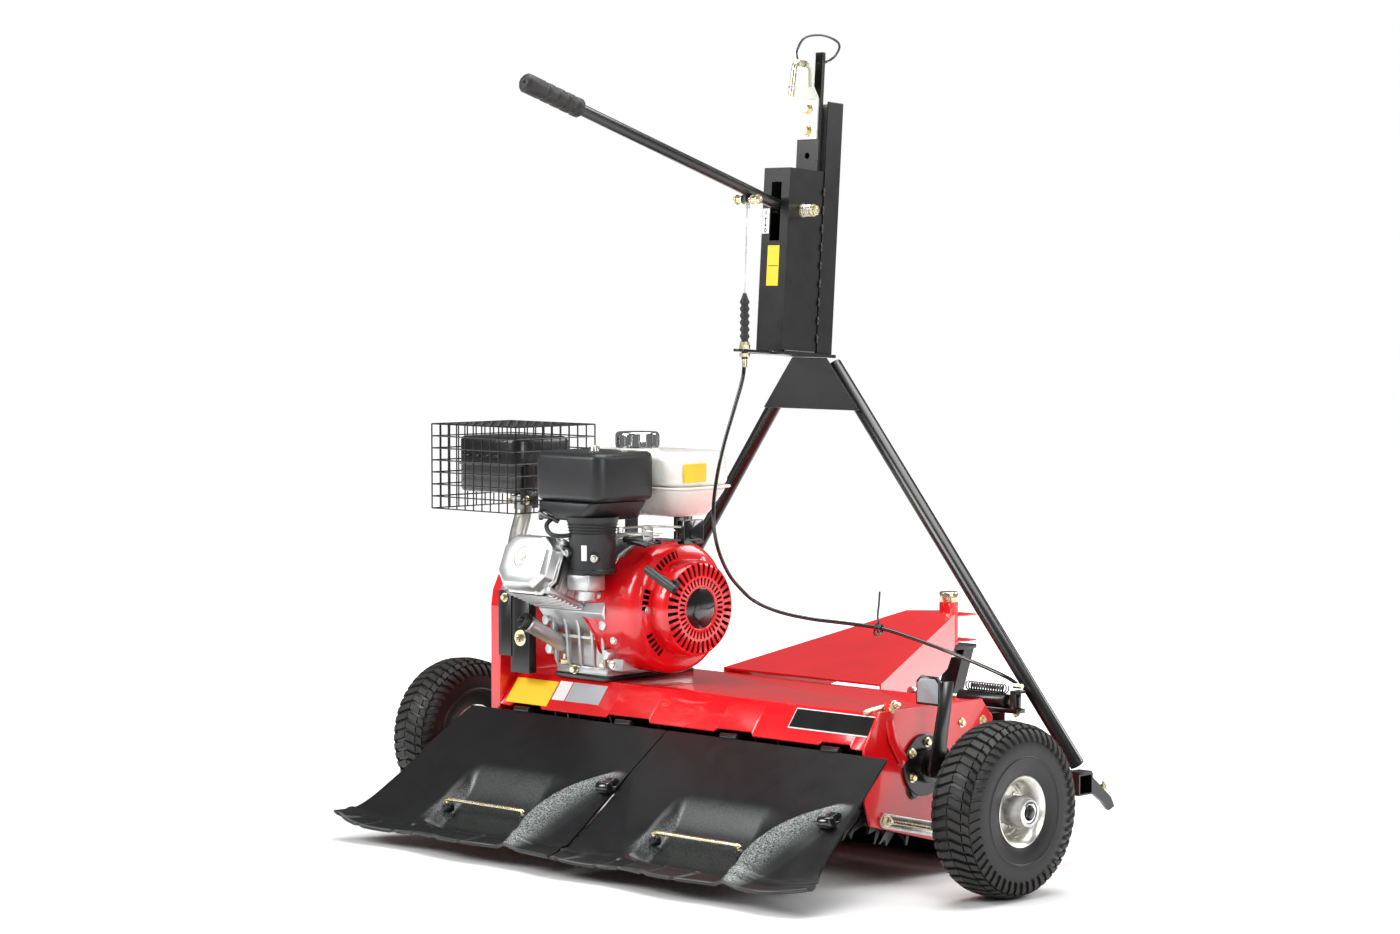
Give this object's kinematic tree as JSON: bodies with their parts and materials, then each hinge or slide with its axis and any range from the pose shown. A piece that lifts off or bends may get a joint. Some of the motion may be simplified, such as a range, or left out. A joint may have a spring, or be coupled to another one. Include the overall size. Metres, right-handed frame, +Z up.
{
  "type": "brush mower",
  "caption": "Petrol-engined brush mower deck on two turf wheels, with hinged front flaps, a toothed rotor, a swivelling three-point hitch frame and a hand lever.",
  "frame": {"origin": "on the ground, in the middle of the machine's bounding box, 123 mm behind the wheels' axle line", "axes": "+X across the machine towards its right-hand wheel, +Y to the rear, away from the flaps, +Z up"},
  "size_m": [1.489, 1.1799, 1.4618],
  "materials": {
    "red_paint": "gloss powder coat",
    "black_paint": "satin powder coat",
    "black_plastic": "grained moulding",
    "cast_aluminium": "as cast",
    "zinc": "bright zinc plate",
    "brass_zinc": "yellow zinc plate",
    "white_paint": "gloss cream white",
    "rubber": "matte rubber",
    "tyre": "matte tyre rubber",
    "steel": "plain steel",
    "chrome": "polished chrome"
  },
  "bodies": {
    "deck": {"deck_housing": "red_paint", "side_plate_left": "red_paint", "side_plate_right": "red_paint", "belt_cover": "red_paint", "gooseneck": "red_paint", "rear_crossbar": "black_paint", "arm_bracket_left": "black_paint", "arm_bracket_right": "black_paint", "roller_arm_left": "zinc", "roller_arm_right": "zinc", "drive_belt": "rubber", "engine_base_plate": "black_paint", "crankcase": "cast_aluminium", "cylinder_head": "cast_aluminium", "valve_cover": "cast_aluminium", "fan_shroud": "red_paint", "recoil_cover": "red_paint", "air_cleaner": "black_plastic", "carburettor": "cast_aluminium", "fuel_tank": "white_paint", "exhaust_pipe": "steel", "muffler": "black_paint", "muffler_guard": "black_paint", "clutch_housing": "black_paint", "control_cable": "black_plastic"},
    "arm_left": {"wheel_arm_left": "black_paint"},
    "arm_right": {"wheel_arm_right": "black_paint"},
    "wheel_left": {"tyre_left": "tyre", "rim_left": "zinc"},
    "wheel_right": {"tyre_right": "tyre", "rim_right": "zinc"},
    "roller": {"rear_roller": "black_paint"},
    "rotor": {"rotor": "black_paint", "rotor_pulley": "steel"},
    "crank": {"crankshaft": "steel", "drive_pulley": "steel"},
    "tensioner": {"tensioner_arm": "zinc"},
    "idler": {"idler_pulley": "steel"},
    "left_flap": {"flap_left": "black_plastic", "flap_handle_left": "brass_zinc"},
    "right_flap": {"flap_right": "black_plastic", "flap_handle_right": "brass_zinc"},
    "fuel_cap": {"fuel_cap": "chrome"},
    "starter": {"starter_handle": "black_plastic"},
    "clutch": {"clutch_plunger": "zinc"},
    "hitch": {"hitch_leg_left": "black_paint", "hitch_leg_right": "black_paint", "gusset_plate": "black_paint", "drawbar": "black_paint", "pivot_pin": "brass_zinc", "mast_box": "black_paint", "mast_channel": "black_paint", "inner_bar": "black_paint", "top_bracket": "zinc", "lever_bolt": "brass_zinc", "cable_boot": "rubber", "inner_wire": "steel"},
    "top_pin": {"top_pin": "brass_zinc"},
    "lever": {"hand_lever": "black_paint", "lever_grip": "rubber"}
  },
  "joints": [
    {"name": "lever_swing", "type": "hinge", "parent": "hitch", "child": "lever", "pos_m": [0, 0.081, 1.1645], "axis": [1, 0, 0], "range_deg": [0, 50], "deforming": ["inner_wire"]},
    {"name": "clutch_pull", "type": "slide", "parent": "deck", "child": "clutch", "axis": [-1, 0, 0], "range_m": [0, 0.02]},
    {"name": "tensioner_swing", "type": "hinge", "parent": "deck", "child": "tensioner", "pos_m": [-0.48, -0.033, 0.2], "axis": [1, 0, 0], "range_deg": [0, 7.5]},
    {"name": "idler_spin", "type": "hinge", "parent": "tensioner", "child": "idler", "pos_m": [-0.5, -0.0215, 0.3], "axis": [1, 0, 0], "continuous": true},
    {"name": "rotor_spin", "type": "hinge", "parent": "deck", "child": "rotor", "pos_m": [0, -0.103, 0.157], "axis": [1, 0, 0], "continuous": true},
    {"name": "crank_spin", "type": "hinge", "parent": "deck", "child": "crank", "pos_m": [-0.3, -0.103, 0.437], "axis": [1, 0, 0], "continuous": true},
    {"name": "arm_left_swing", "type": "hinge", "parent": "deck", "child": "arm_left", "pos_m": [-0.6, -0.077, 0.198], "axis": [1, 0, 0], "range_deg": [0, 25]},
    {"name": "arm_right_swing", "type": "hinge", "parent": "deck", "child": "arm_right", "pos_m": [0.6, -0.077, 0.198], "axis": [1, 0, 0], "range_deg": [0, 25]},
    {"name": "wheel_left_spin", "type": "hinge", "parent": "arm_left", "child": "wheel_left", "pos_m": [-0.6855, -0.123, 0.15], "axis": [1, 0, 0], "continuous": true},
    {"name": "wheel_right_spin", "type": "hinge", "parent": "arm_right", "child": "wheel_right", "pos_m": [0.6855, -0.123, 0.15], "axis": [1, 0, 0], "continuous": true},
    {"name": "roller_spin", "type": "hinge", "parent": "deck", "child": "roller", "pos_m": [0, 0.139, 0.04], "axis": [1, 0, 0], "continuous": true},
    {"name": "left_flap_lift", "type": "hinge", "parent": "deck", "child": "left_flap", "pos_m": [-0.28, -0.236, 0.232], "axis": [-1, 0, 0], "range_deg": [0, 75]},
    {"name": "right_flap_lift", "type": "hinge", "parent": "deck", "child": "right_flap", "pos_m": [0.28, -0.236, 0.232], "axis": [-1, 0, 0], "range_deg": [0, 75]},
    {"name": "hitch_swivel", "type": "hinge", "parent": "deck", "child": "hitch", "pos_m": [0, 0.537, 0.409], "axis": [0, 0, 1], "range_deg": [-0.5, 5], "deforming": ["control_cable"]},
    {"name": "fuel_cap_turn", "type": "hinge", "parent": "deck", "child": "fuel_cap", "pos_m": [-0.235, -0.083, 0.755], "axis": [0, 0, 1], "range_deg": [0, 90]},
    {"name": "starter_pull", "type": "slide", "parent": "deck", "child": "starter", "axis": [0, -1, 0], "range_m": [0, 0.3], "stiffness_N_per_m": 30, "springref_m": -0.1},
    {"name": "top_pin_pull", "type": "slide", "parent": "hitch", "child": "top_pin", "axis": [0, -0.9977, 0.068], "range_m": [0, 0.05]}
  ],
  "couplings": [
    {"joint": "crank_spin", "follows": "rotor_spin", "ratio": 0.8696},
    {"joint": "clutch_pull", "follows": "lever_swing", "m_per_rad": 0.0229},
    {"joint": "tensioner_swing", "follows": "lever_swing", "ratio": 0.15}
  ]
}
